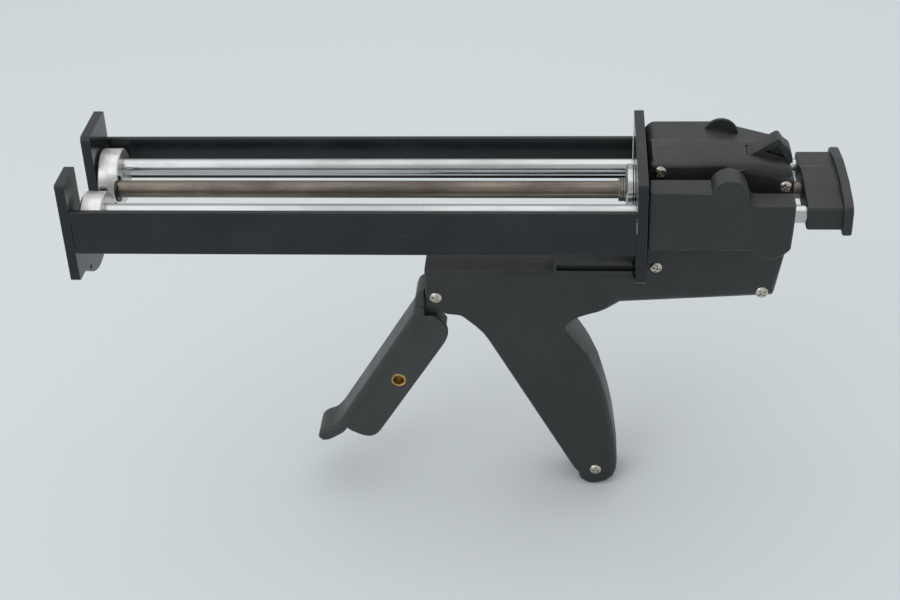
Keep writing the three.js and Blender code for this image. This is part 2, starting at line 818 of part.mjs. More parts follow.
// Neck up the front of the fore-body, and the hub and forked arm inside it.
trigger = cut(trigger, join(box(197.7, 230, 6.6, 20, -79.6, -40), box(197.7, 230, -20, -6.6, -79.6, -40)));
const arm = cut(
  join(
    rodY(6.2, -6.6, 6.6, ...PIVOT, 24),
    rodY(4.1, -6.6, 6.6, ...LINK, 20),
    side([
      [LINK[0] - 3.6, LINK[1]],
      [LINK[0] + 3.6, LINK[1]],
      [PIVOT[0] + 5.6, PIVOT[1]],
      [PIVOT[0] + 3, -70],
      [203.5, -83.5],
      [193, -88],
      [190, -84],
      [194.5, -70],
      [PIVOT[0] - 6, PIVOT[1]],
    ], -6.6, 6.6),
  ),
  rodY(1.6 + GAP, -20, 20, ...PIVOT, 16),
  rodY(1.5 + GAP, -20, 20, ...LINK, 16),
  box(PIVOT[0] - 12, PIVOT[0] + 9, -2.9, 2.9, LINK[1] - 5.6, LINK[1] + 6),
);
trigger = join(cut(trigger, rodY(7.5, -6.7, 6.7, ...PIVOT, 24)), arm);
const EYE = [179.1, -126.6];
trigger = cut(trigger, rodY(3.8 + GAP, -30, 30, ...EYE, 20), rodY(4.8 + GAP, -30, -TRIGGER_HALF + 1.9, ...EYE, 20), rodY(4.8 + GAP, TRIGGER_HALF - 1.9, 30, ...EYE, 20));
addRear("trigger", trigger, "#35383a", 0.5, 0);
addRear(
  "trigger_bush",
  turnedY([
    [3.1, -TRIGGER_HALF + 0.9],
    [4.8, -TRIGGER_HALF + 0.9],
    [4.8, -TRIGGER_HALF + 1.5],
    [3.8, -TRIGGER_HALF + 1.9],
    [3.8, TRIGGER_HALF - 1.9],
    [4.8, TRIGGER_HALF - 1.5],
    [4.8, TRIGGER_HALF - 0.9],
    [3.1, TRIGGER_HALF - 0.9],
    [3.1, -TRIGGER_HALF + 0.9],
  ], ...EYE, 20),
  ...BRASS,
);
addRear("link_pin", rodY(1.5, -6.4, 6.4, ...LINK, 16), ...STEEL);

// Drawbar: flat steel bar from the link pin back to the drive yoke.
const YOKE_X = 351.8;
const drawbar = cut(
  side([
    [199.6, LINK[1] - 3.4],
    [199.6, LINK[1] + 3.2],
    [YOKE_X + 4, LINK[1] + 3.2],
    [YOKE_X + 4, LINK[1] - 3.4],
  ], -2.4, 2.4, 0.5, 1),
  side(soften([
    [LINK[0] - 1.9, LINK[1] - 3.0],
    [LINK[0] - 1.9, LINK[1] + 1.9],
    [LINK[0] + 1.9, LINK[1] + 1.9],
    [LINK[0] + 1.9, LINK[1] - 3.0],
  ], 1, 2), -5, 5),
);
const yoke = cut(
  front([
    [-8, LINK[1] - 3.4],
    [-8, 2],
    [-6, 8],
    [6, 8],
    [8, 2],
    [8, LINK[1] - 3.4],
  ], YOKE_X, YOKE_X + 4, 0.3, 1.5, 2),
  rodX(ROD_R + 0.8, YOKE_X - 1, YOKE_X + 5),
);
addRear("drive_yoke", join(drawbar, yoke), ...STEEL);
const plateShape = (z0, z1, w) => soften([
  [-w, z0],
  [-w, z1],
  [w, z1],
  [w, z0],
], 1.5, 2);
for (let i = 0; i < 3; i++) {
  const x0 = YOKE_X - GAP - 2.8 - i * 3.1;
  addRear(
    `drive_plate_${i + 1}`,
    cut(front(plateShape(-13.2, 11, 9), x0, x0 + 2.8), rodX(ROD_R + 0.45, x0 - 1, x0 + 4)),
    "#8f8b85",
    0.35,
    1,
  );
}
// Coil springs, wound round the drive rod.
function coil(x0, x1, r, wire, turns) {
  class Helix extends THREE.Curve {
    getPoint(t) {
      const a = t * turns * Math.PI * 2;
      return new THREE.Vector3(x0 + wire + (x1 - x0 - 2 * wire) * t, r * Math.cos(a), r * Math.sin(a));
    }
  }
  const section = new THREE.Shape();
  for (let k = 0; k < 5; k++) {
    const a = (k * 2 * Math.PI) / 5;
    if (k === 0) section.moveTo(wire, 0);
    else section.lineTo(wire * Math.cos(a), wire * Math.sin(a));
  }
  const g = new THREE.ExtrudeGeometry(section, {
    steps: Math.round(turns * 12),
    curveSegments: 3,
    extrudePath: new Helix(),
    bevelEnabled: false,
  });
  const s = toSolid(g);
  return s.volume() < 0 ? toSolid(flip(mergeVertices(g))) : s;
}
const DRIVE_SPRING = [FACE_X + 4.3, YOKE_X - GAP - 2.8 - 6.2 - 0.3];
addRear("drive_spring", coil(DRIVE_SPRING[0], DRIVE_SPRING[1], ROD_R + 2.3, 0.65, 4), "#b3b1ac", 0.3, 1);

// Brake plate, its spring, and the thumb lever that frees it.
const BRAKE_X = 383.2;
addRear(
  "brake_plate",
  cut(front(plateShape(-13.4, 11.4, 9), BRAKE_X, BRAKE_X + 3), rodX(ROD_R + 0.5, BRAKE_X - 1, BRAKE_X + 4)),
  "#8f8b85",
  0.35,
  1,
);
addRear("brake_spring", coil(369.8, BRAKE_X - 0.3, ROD_R + 2.3, 0.65, 4), "#b3b1ac", 0.3, 1);
const LEVER_PIN = [392.6, 15.95];
const pocket = (s) =>
  side(
    [
      [389.2, 26.9],
      [396.6, 30.9],
      [401.2, 22.6],
    ],
    s < 0 ? -LEVER_HALF - 1 : 2.2,
    s < 0 ? -2.2 : LEVER_HALF + 1,
  );
const lever = cut(
  side([
    [380.2, 24.6, 0.6],
    [395.6, 34.9, 0.8],
    [397.2, 34.8, 0.8],
    [400.2, 30.6, 1],
    [403.2, 28.6, 1.5],
    [404.8, 24, 2],
    [405.4, 19.8, 0.6],
    [402.6, 19.0, 1],
    [396.6, 19.6, 1],
    [396.4, 15, 2],
    [395.6, 11.4, 2],
    [389.8, 8.2, 1],
    [387.0, 9.0, 1],
    [387.2, 12.8, 1],
    [388.4, 21.0, 2],
    [383.6, 22.8, 1],
  ], -LEVER_HALF, LEVER_HALF, 0.7, 1, 1, 2),
  pocket(-1),
  pocket(1),
  rodY(1.5 + GAP, -20, 20, ...LEVER_PIN, 16),
);
addRear("release_lever", cut(lever, rodX(ROD_R + 0.8, 380, 402)), "#333638", 0.5, 0);
addRear("lever_pin", rodY(1.5, -12.2, 12.2, ...LEVER_PIN, 16), ...STEEL);

// ---------------------------------------------------------------- origin
gun.updateMatrixWorld(true);
const bounds = new THREE.Box3().setFromObject(gun);
gun.position.set(-(bounds.min.x + bounds.max.x) / 2, -(bounds.min.y + bounds.max.y) / 2, -bounds.min.z);

export default gun;
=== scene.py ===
import json
import math

import bmesh
import bpy
import numpy as np
from mathutils import Matrix, Vector

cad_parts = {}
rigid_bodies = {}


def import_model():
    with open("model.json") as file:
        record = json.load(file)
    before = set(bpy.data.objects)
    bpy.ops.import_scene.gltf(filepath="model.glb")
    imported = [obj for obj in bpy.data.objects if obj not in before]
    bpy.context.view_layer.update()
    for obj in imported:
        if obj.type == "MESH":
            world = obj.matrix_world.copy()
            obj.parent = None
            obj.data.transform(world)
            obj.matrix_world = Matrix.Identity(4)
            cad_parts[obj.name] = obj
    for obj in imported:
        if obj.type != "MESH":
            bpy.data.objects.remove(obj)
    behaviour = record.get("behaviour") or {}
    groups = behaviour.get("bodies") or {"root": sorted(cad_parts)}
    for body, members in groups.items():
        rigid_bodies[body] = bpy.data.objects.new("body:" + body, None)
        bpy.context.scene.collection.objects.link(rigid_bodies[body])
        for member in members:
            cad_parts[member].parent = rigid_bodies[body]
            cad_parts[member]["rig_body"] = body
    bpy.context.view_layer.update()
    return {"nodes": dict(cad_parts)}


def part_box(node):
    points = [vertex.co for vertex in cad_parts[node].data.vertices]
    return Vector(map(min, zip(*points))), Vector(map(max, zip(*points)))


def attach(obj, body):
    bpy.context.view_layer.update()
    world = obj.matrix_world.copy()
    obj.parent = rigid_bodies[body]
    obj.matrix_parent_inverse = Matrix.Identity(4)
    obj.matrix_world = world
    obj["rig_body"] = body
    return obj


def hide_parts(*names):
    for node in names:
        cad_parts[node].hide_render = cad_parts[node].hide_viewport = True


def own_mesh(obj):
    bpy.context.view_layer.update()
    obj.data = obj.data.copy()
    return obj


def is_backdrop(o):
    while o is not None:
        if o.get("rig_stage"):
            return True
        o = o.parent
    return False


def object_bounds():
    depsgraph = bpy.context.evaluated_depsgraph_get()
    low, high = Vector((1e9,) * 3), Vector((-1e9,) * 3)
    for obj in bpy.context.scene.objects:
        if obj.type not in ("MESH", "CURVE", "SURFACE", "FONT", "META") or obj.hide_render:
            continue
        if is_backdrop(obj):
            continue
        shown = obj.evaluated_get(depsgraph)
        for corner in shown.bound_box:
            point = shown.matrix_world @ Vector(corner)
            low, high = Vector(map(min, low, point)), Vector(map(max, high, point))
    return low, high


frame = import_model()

nodes = frame["nodes"]

# Stations are written in millimetres from the front plate's front face (x), the middle of
# the gun (y) and the axis of the three rods (z). ORIGIN is that corner in the row frame.
ORIGIN = np.array([
    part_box("front_plate")[0].x,
    0.0,
    (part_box("drive_rod")[0].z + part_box("drive_rod")[1].z) / 2,
])


def span(node):
    """A node's lowest and highest corner in stations."""
    low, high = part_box(node)
    return (np.array(low) - ORIGIN) * 1000, (np.array(high) - ORIGIN) * 1000


# ------------------------------------------------------------------ camera, floor and light
# The gun is looked at from its left side and from a third of the way up, with a plain pale
# floor under it and a large soft light overhead.
def linear(code):
    """An sRGB hex colour as linear RGBA: each channel through the sRGB transfer curve."""
    c = np.array([int(code[i:i + 2], 16) for i in (1, 3, 5)]) / 255
    c = np.where(c <= 0.04045, c / 12.92, ((c + 0.055) / 1.055) ** 2.4)
    return (*c.tolist(), 1.0)


def node(tree, kind, links=(), **settings):
    """Adds a node: settings are its properties, links its sockets' values or the outputs they come from."""
    made = tree.nodes.new(kind)
    for name, value in settings.items():
        setattr(made, name, value)
    for socket, value in dict(links).items():
        target = made.inputs[socket]
        if isinstance(value, bpy.types.NodeSocket):
            tree.links.new(value, target)
        else:
            target.default_value = value
    return made


def material(name, colour, metallic=0.0, roughness=0.5):
    """A material with one Principled shader, and the tree and shader to build its pattern on."""
    made = bpy.data.materials.new(name)
    made.use_nodes = True
    tree = made.node_tree
    tree.nodes.clear()
    shader = node(tree, "ShaderNodeBsdfPrincipled", {
        "Base Color": linear(colour), "Metallic": metallic, "Roughness": roughness,
    })
    node(tree, "ShaderNodeOutputMaterial", {"Surface": shader.outputs[0]})
    return made, tree, shader


camera = bpy.data.objects.new("camera", bpy.data.cameras.new("camera"))
bpy.context.scene.collection.objects.link(camera)
camera.data.sensor_width = 36
camera.data.lens = 66.92
turn = Matrix((
    (0.99718, -0.00633, 0.07469),
    (0.06612, 0.54330, -0.83697),
    (-0.03528, 0.83956, 0.54220),
))
stand = Vector((ORIGIN + (0.28579, -0.83318, 0.46450)).tolist())
camera.matrix_world = Matrix.Translation(stand) @ turn.to_4x4()
camera.data.clip_start, camera.data.clip_end = 0.05, 30
bpy.context.scene.camera = camera
bpy.context.scene.view_settings.view_transform = "Standard"

FLOOR_HALF = 4.0  # metres
corners = [(x * FLOOR_HALF, y * FLOOR_HALF, 0) for x, y in ((-1, -1), (1, -1), (1, 1), (-1, 1))]
floor_mesh = bpy.data.meshes.new("floor")
floor_mesh.from_pydata(corners, [], [(0, 1, 2, 3)])
floor = bpy.data.objects.new("floor", floor_mesh)
bpy.context.scene.collection.objects.link(floor)
paper, tree, shader = material("pale_paper", "#d5dadc", 0.0, 0.9)
floor_mesh.materials.append(paper)
floor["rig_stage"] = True


def soft_light(name, place, target, width, height, watts, colour="#ffffff"):
    """A rectangular light at place that faces target."""
    lamp = bpy.data.lights.new(name, "AREA")
    lamp.shape, lamp.size, lamp.size_y = "RECTANGLE", width, height
    lamp.energy, lamp.color = watts, linear(colour)[:3]
    made = bpy.data.objects.new(name, lamp)
    made.location = place
    made.rotation_euler = (Vector(target) - Vector(place)).to_track_quat("-Z", "Y").to_euler()
    bpy.context.scene.collection.objects.link(made)


soft_light("overhead", (-0.1, 0.15, 1.7), (0, 0, 0.1), 2.6, 1.8, 12)
soft_light("window", (-1.1, -1.3, 1.1), (0, 0, 0.12), 1.2, 1.2, 6, "#f7faff")
world = bpy.data.worlds.new("room")
bpy.context.scene.world = world
world.use_nodes = True
world.node_tree.nodes["Background"].inputs[0].default_value = linear("#eef1f2")
world.node_tree.nodes["Background"].inputs[1].default_value = 0.78


# ------------------------------------------------------------------ carriage plates and rails
# Two 5.6 mm plates and two flat rails, cut from sheet steel, brazed at the corners and
# dipped in black enamel. Handling has rubbed the enamel thin along the edges.
def finish_mesh(made, sharp):
    """Merges doubled points, turns the faces outward and shades smooth where faces meet below
    `sharp` degrees."""
    shape = bmesh.new()
    shape.from_mesh(made)
    bmesh.ops.remove_doubles(shape, verts=shape.verts, dist=2e-6)
    bmesh.ops.recalc_face_normals(shape, faces=shape.faces)
    shape.to_mesh(made)
    shape.free()
    made.polygons.foreach_set("use_smooth", np.ones(len(made.polygons), bool))
    made.set_sharp_from_angle(angle=math.radians(sharp))


def place(name, made, finish, body, slot, replaced, bevel=0.0, steps=2):
    """Makes a mesh a piece of the gun: gives it its finish, rounds its corners by `bevel` mm
    and sets it on its body."""
    obj = bpy.data.objects.new(name, made)
    bpy.context.scene.collection.objects.link(obj)
    made.materials.clear()
    made.materials.append(finish)
    if bevel:
        rounding = obj.modifiers.new("rounding", "BEVEL")
        rounding.width, rounding.segments = bevel / 1000, steps
        rounding.limit_method, rounding.angle_limit = "ANGLE", math.radians(35)
        rounding.harden_normals = False
    weighted = obj.modifiers.new("weighted", "WEIGHTED_NORMAL")
    weighted.keep_sharp = not bevel
    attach(obj, body)
    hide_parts(*replaced)
    return obj


def from_cad(name, cad, finish, slot, sharp=50, bevel=0.0, flat=True, steps=2):
    """A piece made from a merged copy of a CAD node: coplanar triangles are joined, and its
    edges rounded or shaded soft."""
    made = nodes[cad].data.copy()
    made.name = name
    stale = ("custom_normal", "sharp_face", "sharp_edge")
    for attribute in [a.name for a in made.attributes if a.name in stale]:
        made.attributes.remove(made.attributes[attribute])
    finish_mesh(made, sharp)
    if flat:
        shape = bmesh.new()
        shape.from_mesh(made)
        bmesh.ops.dissolve_limit(shape, angle_limit=math.radians(0.4), verts=shape.verts, edges=shape.edges)
        shape.to_mesh(made)
        shape.free()
        made.polygons.foreach_set("use_smooth", np.ones(len(made.polygons), bool))
        made.set_sharp_from_angle(angle=math.radians(sharp))
    return place(name, made, finish, nodes[cad]["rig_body"], slot, [cad], bevel, steps)


def position(tree, scale=(1.0, 1.0, 1.0)):
    """Object coordinates, stretched by scale."""
    coordinates = node(tree, "ShaderNodeTexCoord").outputs["Object"]
    return node(tree, "ShaderNodeMapping", {"Vector": coordinates, "Scale": scale}).outputs[0]


def noise(tree, size_mm, detail=2.0, rough=0.5, stretch=(1.0, 1.0, 1.0)):
    """Noise whose features are size_mm across."""
    return node(tree, "ShaderNodeTexNoise", {
        "Vector": position(tree, stretch), "Scale": 1000.0 / size_mm, "Detail": detail, "Roughness": rough,
    }).outputs[0]


def ramp(tree, value, low, high, to_low=0.0, to_high=1.0):
    """A value carried smoothly from the range low..high to to_low..to_high."""
    return node(tree, "ShaderNodeMapRange", {
        "Value": value, "From Min": low, "From Max": high, "To Min": to_low, "To Max": to_high,
    }, interpolation_type="SMOOTHSTEP").outputs[0]


def math_node(tree, operation, a, b=0.0):
    """The outcome of a sum on two values."""
    return node(tree, "ShaderNodeMath", {0: a, 1: b}, operation=operation).outputs[0]


def mixed(tree, factor, a, b):
    """Colour a going to colour b by factor."""
    made = node(tree, "ShaderNodeMix", {"Factor": factor}, data_type="RGBA")
    for socket, value in (("A_Color", a), ("B_Color", b)):
        target = next(s for s in made.inputs if s.identifier == socket)
        if isinstance(value, bpy.types.NodeSocket):
            tree.links.new(value, target)
        else:
            target.default_value = linear(value)
    return next(s for s in made.outputs if s.identifier == "Result_Color")


def edges(tree, radius_mm):
    """1 on a corner and 0 on an open face: how far a normal averaged over radius_mm leans
    from the face's own."""
    round_normal = node(tree, "ShaderNodeBevel", {"Radius": radius_mm / 1000}, samples=4)
    face = node(tree, "ShaderNodeNewGeometry")
    same = node(tree, "ShaderNodeVectorMath", {
        0: round_normal.outputs[0], 1: face.outputs["Normal"],
    }, operation="DOT_PRODUCT")
    return ramp(tree, same.outputs["Value"], 0.999, 0.93)


def painted(tree, shader, colour, roughness):
    """Links a pattern of colour and one of roughness to the shader."""
    tree.links.new(colour, shader.inputs["Base Color"])
    tree.links.new(roughness, shader.inputs["Roughness"])


def bumped(tree, shader, heights):
    """Links bumps onto the shader: heights are (value, depth in mm) from the coarsest to the finest."""
    last = None
    for value, depth_mm in heights:
        links = {"Height": value, "Distance": depth_mm / 1000, "Strength": 1.0}
        if last is not None:
            links["Normal"] = last
        last = node(tree, "ShaderNodeBump", links).outputs[0]
    tree.links.new(last, shader.inputs["Normal"])


# Black stoving enamel on steel: a satin skin with a faint orange peel about 2 mm across,
# rubbed brown-grey on the corners, and marked here and there by the bench.
enamel, tree, shader = material("black_stoving_enamel", "#1b1e21", 0.0, 0.24)
shader.inputs["Specular IOR Level"].default_value = 0.34
blotch = noise(tree, 38, 3.0, 0.6)
fleck = noise(tree, 1.6, 3.0, 0.7)
drag = noise(tree, 1.1, 3.0, 0.65, (0.03, 1.0, 1.0))
patchy = ramp(tree, noise(tree, 7, 4.0, 0.7), 0.42, 0.66, 0.05, 0.9)
worn = math_node(tree, "MULTIPLY", edges(tree, 0.7), patchy)
ground = mixed(tree, ramp(tree, blotch, 0.35, 0.7), "#191c1f", "#212427")
scuffed = mixed(tree, ramp(tree, drag, 0.66, 0.74, 0.0, 0.45), ground, "#3a3936")
dusty = mixed(tree, ramp(tree, fleck, 0.70, 0.78, 0.0, 0.35), scuffed, "#474746")
satin = ramp(tree, blotch, 0.3, 0.7, 0.19, 0.28)
dulled = math_node(tree, "ADD", satin, math_node(tree, "MULTIPLY", worn, 0.15))
painted(tree, shader, mixed(tree, worn, dusty, "#4b4946"), dulled)
bumped(tree, shader, [(noise(tree, 2.2, 1.0), 0.012), (drag, 0.006)])

PLATE_ROUND = 0.45  # mm
for cad, name in (
    ("front_plate", "front_plate_enamelled"), ("rear_plate", "rear_plate_enamelled"),
    ("rail_left", "left_rail_enamelled"), ("rail_right", "right_rail_enamelled"),
):
    from_cad(name, cad, enamel, "painted_steel", bevel=PLATE_ROUND)


# ------------------------------------------------------------------ outer rods
# Two 10 mm bars, centreless ground and bright chrome plated. They slide through nylon
# guides, which leave faint lines along them.
def joined(grid, around=True):
    """Quads between the neighbouring points of a grid; the second direction closes on itself if `around`."""
    m, n = grid.shape[:2]
    index = np.arange(m * n).reshape(m, n)
    if around:
        index = np.concatenate([index, index[:, :1]], 1)
    return np.stack([index[:-1, :-1], index[:-1, 1:], index[1:, 1:], index[1:, :-1]], -1).reshape(-1, 4)


def surface(name, grids, sharp=35):
    """A mesh from grids of station points in millimetres."""
    made = bpy.data.meshes.new(name)
    points, faces, count = [], [], 0
    for grid in grids:
        faces.append(joined(grid) + count)
        points.append(grid.reshape(-1, 3))
        count += len(points[-1])
    made.from_pydata((np.concatenate(points) / 1000 + ORIGIN).tolist(), [], np.concatenate(faces).tolist())
    finish_mesh(made, sharp)
    return made


def turned(profile, centre, axis=0, around=64):
    """A profile of (station along the axis, radius) points carried round the axis through centre."""
    p = np.array(profile, float)
    t = np.linspace(0, 2 * np.pi, around, endpoint=False)
    along = np.repeat(p[:, :1], around, 1)
    a, b = p[:, 1:] * np.cos(t), p[:, 1:] * np.sin(t)
    other = [centre[i] for i in range(3) if i != axis]
    parts = [other[0] + a, other[1] + b]
    parts.insert(axis, along)
    return np.stack(parts, -1)


# Hard chrome on ground steel: almost a mirror, with grinding lines round the bar about
# 0.1 mm apart, drawn at 0.5 mm so that they show, and smears left by a hand.
chrome, tree, shader = material("hard_chrome", "#c9cbcb", 1.0, 0.2)
smear = noise(tree, 22, 3.0, 0.6, (0.35, 1.0, 1.0))
ground_lines = noise(tree, 0.5, 1.0, 0.5, (1.0, 0.02, 0.02))
slide_lines = noise(tree, 1.2, 2.0, 0.6, (0.01, 1.0, 1.0))
lines = ramp(tree, slide_lines, 0.5, 0.8, 0.0, 0.08)
hazed = math_node(tree, "ADD", ramp(tree, smear, 0.3, 0.75, 0.17, 0.29), lines)
painted(tree, shader, mixed(tree, ramp(tree, smear, 0.35, 0.75), "#bfc1c1", "#a5a7a7"), hazed)
bumped(tree, shader, [(ground_lines, 0.004), (slide_lines, 0.004)])


def bar(cad, front_profile):
    """A round bar: the profile of its front end, then its full radius to its tapped rear end."""
    low, high = span(cad)
    middle = (low + high) / 2
    radius = (high[1] - low[1]) / 2
    end, chamfer, bore, bore_depth = high[0], 0.4, 2.0, 9.0
    return turned([
        *[(low[0] + x, r) for x, r in front_profile],
        (end - chamfer, radius), (end, radius - chamfer),
        (end, bore), (end - bore_depth, bore), (end - bore_depth, 0),
    ], middle, 0, 72)


# The front end is turned down to 8 mm where it sits in the disc.
DISC_SEAT = [(0, 0), (0, 3.6), (0.4, 4), (9.2, 4), (9.2, 4.8), (9.4, 5)]
for cad, name in (("plunger_rod_left", "left_rod_bar"), ("plunger_rod_right", "right_rod_bar")):
    grid = bar(cad, DISC_SEAT)
    place(name, surface(name, [grid]), chrome, "plunger", "chromed_steel", [cad])

# ------------------------------------------------------------------ drive rod
# The middle bar is plain ground steel, brown with old oil, and the drive plates have left
# fine bright rings along it.
oiled, tree, shader = material("oiled_ground_steel", "#7d756a", 0.85, 0.34)
film = noise(tree, 26, 4.0, 0.65, (0.4, 1.0, 1.0))
streak = noise(tree, 1.6, 3.0, 0.6, (0.02, 1.0, 1.0))
rings = noise(tree, 1.0, 2.0, 0.6, (1.0, 0.01, 0.01))
browned = mixed(tree, ramp(tree, film, 0.3, 0.72), "#827a6f", "#575047")
lined = mixed(tree, ramp(tree, streak, 0.45, 0.8, 0.0, 0.6), browned, "#4c4741")
ringed = mixed(tree, ramp(tree, rings, 0.62, 0.74, 0.0, 0.5), lined, "#a39a8e")
painted(tree, shader, ringed, ramp(tree, film, 0.3, 0.7, 0.26, 0.46))
bumped(tree, shader, [(rings, 0.01), (streak, 0.006)])

CLIP_GROOVE = [(1.1, 5), (1.1, 4.1), (2.7, 4.1), (2.7, 5)]
grid = bar("drive_rod", [(0, 0), (0, 4.2), (0.8, 5), *CLIP_GROOVE])
place("drive_rod_bar", surface("drive_rod_bar", [grid]), oiled, "plunger", "oiled_steel", ["drive_rod"])

# The clip at its front end is spring steel, blackened by heat treatment.
blackened, tree, shader = material("blackened_spring_steel", "#2e2c2a", 0.8, 0.42)
scaled = mixed(tree, ramp(tree, noise(tree, 2.5, 3.0), 0.35, 0.7), "#262524", "#403c38")
painted(tree, shader, scaled, ramp(tree, noise(tree, 1.2, 2.0), 0.3, 0.7, 0.34, 0.52))
bumped(tree, shader, [(noise(tree, 0.8, 2.0), 0.01)])
from_cad("drive_rod_circlip", "drive_rod_clip", blackened, "dark_steel", sharp=40)


# ------------------------------------------------------------------ plunger discs
# Each disc is turned from aluminium bar and faced off in a lathe. A bright grub screw in its
# rim, driven in from the gun's left, holds it on its rod.
def turned_metal(name, light, dark, metallic, low_rough, high_rough, centre, ring_mm):
    """Lathe-turned metal: rings ring_mm apart round the X axis through centre, with stains
    and a soft grain."""
    made, tree, shader = material(name, light, metallic, low_rough)
    coordinates = node(tree, "ShaderNodeTexCoord").outputs["Object"]
    offset = (0.0, -(centre[1] / 1000 + ORIGIN[1]), -(centre[2] / 1000 + ORIGIN[2]))
    moved = node(tree, "ShaderNodeMapping", {"Vector": coordinates, "Location": offset}).outputs[0]
    apart = node(tree, "ShaderNodeSeparateXYZ", {0: moved})
    flat = node(tree, "ShaderNodeCombineXYZ", {"Y": apart.outputs["Y"], "Z": apart.outputs["Z"]})
    radius = node(tree, "ShaderNodeVectorMath", {0: flat.outputs[0]}, operation="LENGTH").outputs["Value"]
    both = node(tree, "ShaderNodeCombineXYZ", {"X": radius, "Y": apart.outputs["X"]})
    cut = node(tree, "ShaderNodeTexNoise", {
        "Vector": both.outputs[0], "Scale": 1000.0 / ring_mm, "Detail": 2.0, "Roughness": 0.6,
    }).outputs[0]
    stain = noise(tree, 6, 4.0, 0.65)
    tinted = mixed(tree, ramp(tree, stain, 0.35, 0.75), light, dark)
    grooved = mixed(tree, ramp(tree, cut, 0.45, 0.7, 0.0, 0.35), tinted, dark)
    painted(tree, shader, grooved, ramp(tree, cut, 0.3, 0.7, low_rough, high_rough))
    bumped(tree, shader, [(cut, 0.02)])
    return made


for side in ("left", "right"):
    low, high = span(f"plunger_disc_{side}")
    middle = (low + high) / 2
    faced = turned_metal(f"faced_aluminium_{side}", "#e0dfdc", "#c6c5c2", 0.85, 0.3, 0.4, middle, 0.6)
    from_cad(f"{side}_disc_turned", f"plunger_disc_{side}", faced, "turned_aluminium", sharp=30)

# ------------------------------------------------------------------ rod guides, bush and nut
# Nylon guides pressed in the rear plate, a steel bush for the drive rod, and the chromed
# round nut that draws the carriage back to the housing.
nylon, tree, shader = material("dark_nylon", "#3a3a38", 0.0, 0.5)
mottled = mixed(tree, ramp(tree, noise(tree, 3, 2.0), 0.3, 0.7), "#343432", "#42423f")
painted(tree, shader, mottled, ramp(tree, noise(tree, 1.5, 2.0), 0.3, 0.7, 0.42, 0.58))
bumped(tree, shader, [(noise(tree, 0.7, 2.0), 0.01)])
GUIDE_BORE = 5.35  # radius; the rods slide with 0.35 mm round them
for side in ("left", "right"):
    low, high = span(f"rod_bush_{side}")
    middle, outer = (low + high) / 2, (high[1] - low[1]) / 2
    name = f"{side}_rod_guide"
    grid = turned([
        (low[0], GUIDE_BORE), (low[0], outer - 0.4), (low[0] + 0.4, outer),
        (high[0], outer), (high[0], GUIDE_BORE), (low[0], GUIDE_BORE),
    ], middle)
    place(name, surface(name, [grid]), nylon, "frame", "bush_nylon", [f"rod_bush_{side}"])

steel = turned_metal("plain_turned_steel", "#9b9892", "#6f6c67", 1.0, 0.3, 0.46, (0, 0, 0), 0.5)
for side in ("left", "right"):
    from_cad(f"{side}_disc_grub_screw", f"disc_set_screw_{side}", steel, "plain_steel", sharp=40)
low, high = span("centre_bush")
THREAD_PITCH, THREAD_DEPTH, CREST = 1.5, 0.45, 6.9  # mm
BUSH_BORE, COLLAR, COLLAR_T = 5.4, 10.4, 2.6
turns = np.arange(low[0] + 0.8, span("rear_plate")[0][0] + 6, THREAD_PITCH / 2)
thread = [(x, CREST - THREAD_DEPTH * (i % 2)) for i, x in enumerate(turns)]
grid = turned([
    (low[0], BUSH_BORE), (low[0], CREST - 0.6), *thread,
    (high[0] - COLLAR_T, CREST), (high[0] - COLLAR_T, COLLAR), (high[0], COLLAR),
    (high[0], BUSH_BORE), (low[0], BUSH_BORE),
], (0, 0, 0))
place("threaded_bush", surface("threaded_bush", [grid]), steel, "frame", "plain_steel", ["centre_bush"])

low, high = span("carriage_nut")
NUT_BORE, NUT_R = 7.3, 14.4
profile = [
    (low[0], NUT_BORE), (low[0], NUT_R - 1.8), (low[0] + 0.3, NUT_R - 1), (low[0] + 1.0, NUT_R),
    (low[0] + 3.8, NUT_R), (low[0] + 4.4, NUT_R - 0.8),
    (high[0], NUT_R - 0.8), (high[0], NUT_BORE), (low[0], NUT_BORE),
]
grid = turned(profile, (0, 0, 0), 0, 144)
place("round_nut", surface("round_nut", [grid], 30), chrome, "frame", "chromed_steel", ["carriage_nut"])

# ------------------------------------------------------------------ housing halves
# Two glass-filled nylon mouldings, charcoal, with a fine spark-eroded texture that dulls
# the surface. Hands have polished the corners and the ridge glossier, and a painted sheen lightens the
# corners.
def moulded(name, base, pale, edge, rough):
    """Textured nylon: clouded from base to pale, grained, dusted, polished on its corners, and painted
    lighter toward edge there as a painted sheen.
    """
    made, tree, shader = material(name, base, 0.0, rough)
    cloud = noise(tree, 45, 3.0, 0.6)
    grain = noise(tree, 0.75, 2.0, 0.6)  # real texture is 0.2 mm, too fine to show
    dust = noise(tree, 2.2, 3.0, 0.7)
    flow = noise(tree, 14, 2.0, 0.5, (1.0, 0.2, 0.6))
    handled_and_sheen = ramp(tree, noise(tree, 12, 3.0, 0.6), 0.3, 0.65, 0.35, 1.0)
    rubbed_and_sheen = math_node(tree, "MULTIPLY", edges(tree, 1.3), handled_and_sheen)
    ground = mixed(tree, ramp(tree, cloud, 0.35, 0.7), base, pale)
    grained = mixed(tree, ramp(tree, grain, 0.45, 0.75, 0.0, 0.35), ground, edge)
    dusted = mixed(tree, ramp(tree, dust, 0.66, 0.78, 0.0, 0.3), grained, "#5a5d5e")
    dull = ramp(tree, flow, 0.3, 0.7, rough - 0.05, rough + 0.07)
    polished = math_node(tree, "SUBTRACT", dull, math_node(tree, "MULTIPLY", rubbed_and_sheen, 0.12))
    # painted sheen: the corners are painted lighter toward edge, on top of the real polish set in the
    # roughness above
    painted(tree, shader, mixed(tree, math_node(tree, "MULTIPLY", rubbed_and_sheen, 0.75), dusted, edge), polished)
    bumped(tree, shader, [(cloud, 0.15), (grain, 0.035)])
    return made


